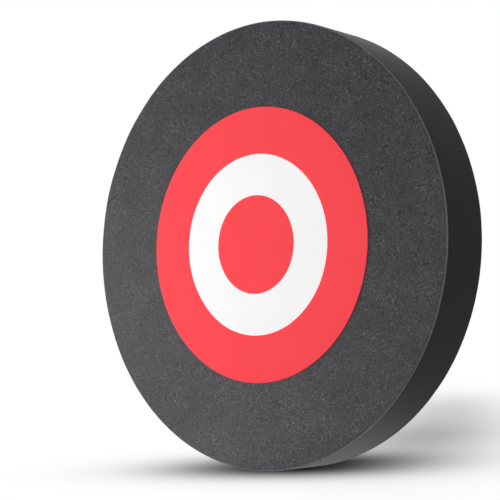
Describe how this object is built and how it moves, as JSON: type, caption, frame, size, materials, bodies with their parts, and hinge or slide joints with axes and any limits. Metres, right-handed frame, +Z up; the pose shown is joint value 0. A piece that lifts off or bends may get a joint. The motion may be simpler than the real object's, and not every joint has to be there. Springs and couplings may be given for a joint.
{
  "type": "archery target boss",
  "caption": "Round closed-cell foam target disc with rounded edges and a printed front: red outer zone, white zone and red centre. Stands on its rim or rests on its flat back.",
  "frame": {"origin": "centre of the flat back face", "axes": "+Y along the disc's axis, out of the back, so the printed front faces -Y; +Z up with the disc standing on its rim; +X to the right seen from the front"},
  "size_m": [0.1998, 0.0274, 0.1998],
  "materials": {
    "foam": "matte closed-cell foam: finely speckled skived front, smooth satin rim",
    "white_print": "opaque matte print film",
    "red_print": "opaque matte print film"
  },
  "bodies": {
    "root": {"boss_body": "foam", "white_underbase": "white_print", "red_outer_ring": "red_print", "red_bullseye": "red_print"}
  },
  "joints": []
}
